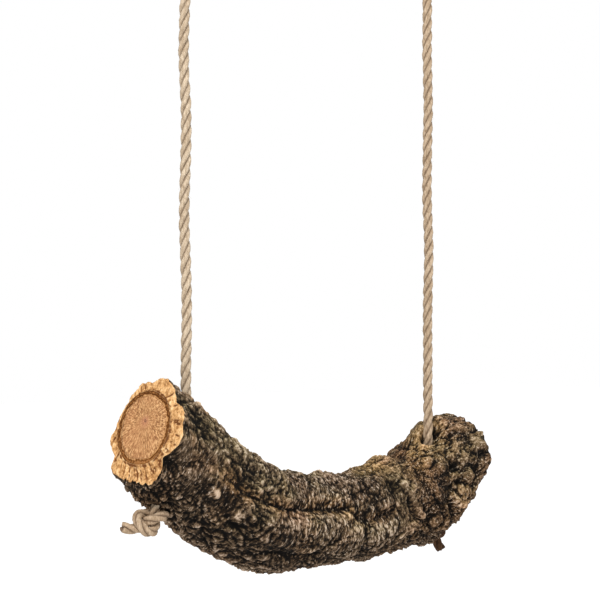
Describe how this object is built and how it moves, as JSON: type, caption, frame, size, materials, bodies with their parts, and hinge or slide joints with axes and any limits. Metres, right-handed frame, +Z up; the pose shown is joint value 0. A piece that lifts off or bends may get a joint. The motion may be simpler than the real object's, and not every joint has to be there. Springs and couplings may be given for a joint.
{
  "type": "bird swing",
  "caption": "Bowed cork-oak log perch, bark left on, hung level on two natural-fibre ropes that are knotted under it and end in eyes on wire hooks.",
  "frame": {"origin": "midway between the two hooks, on the line through the centres of their upper bends, where the swing hangs", "axes": "+Z up, against the pull of gravity; +X from the near (left) rope to the far (right) rope, along the log; +Y to the back"},
  "size_m": [0.3064, 0.0895, 0.5042],
  "materials": {
    "cork_bark": "deeply cracked grey-brown cork bark with lichen, orange granular cork where it is sawn",
    "inner_bark": "dark brown cracked inner bark",
    "wood": "sawn end grain with fine rays",
    "rope": "three-strand laid natural fibre, hairy",
    "steel_wire": "bright zinc-plated wire"
  },
  "bodies": {
    "hanger": {"left_hook": "steel_wire", "right_hook": "steel_wire"},
    "left_loop": {"left_eye": "rope", "left_eye_knot": "rope", "left_eye_tail": "rope"},
    "right_loop": {"right_eye": "rope", "right_eye_knot": "rope", "right_eye_tail": "rope"},
    "left_line": {"left_rope": "rope"},
    "right_line": {"right_rope": "rope"},
    "log": {"left_cork_bark": "cork_bark", "middle_cork_bark": "cork_bark", "right_cork_bark": "cork_bark", "inner_bark": "inner_bark", "wood_core": "wood", "left_rope_in_log": "rope", "right_rope_in_log": "rope", "left_stop_knot": "rope", "right_stop_knot": "rope", "left_tail": "rope", "right_tail": "rope"}
  },
  "joints": [
    {"name": "swing", "type": "hinge", "parent": "hanger", "child": "left_loop", "pos_m": [-0.10841, 0, -0.032], "axis": [1, 0, 0], "range_deg": [-30, 30]},
    {"name": "right_swing", "type": "hinge", "parent": "hanger", "child": "right_loop", "pos_m": [0.10841, 0, -0.032], "axis": [1, 0, 0], "range_deg": [-30, 30]},
    {"name": "sway", "type": "hinge", "parent": "left_loop", "child": "left_line", "pos_m": [-0.10841, 0, -0.074], "axis": [0, 1, 0], "range_deg": [-15, 15]},
    {"name": "right_sway", "type": "hinge", "parent": "right_loop", "child": "right_line", "pos_m": [0.10841, 0, -0.074], "axis": [0, 1, 0], "range_deg": [-13.56, 13.56]},
    {"name": "log_level", "type": "hinge", "parent": "left_line", "child": "log", "pos_m": [-0.10841, 0, -0.3705], "axis": [0, 1, 0], "range_deg": [-15, 15]}
  ],
  "couplings": [
    {"joint": "right_swing", "follows": "swing", "ratio": 1},
    {"joint": "right_sway", "follows": "sway", "ratio": 0.904},
    {"joint": "log_level", "follows": "sway", "ratio": -1}
  ]
}
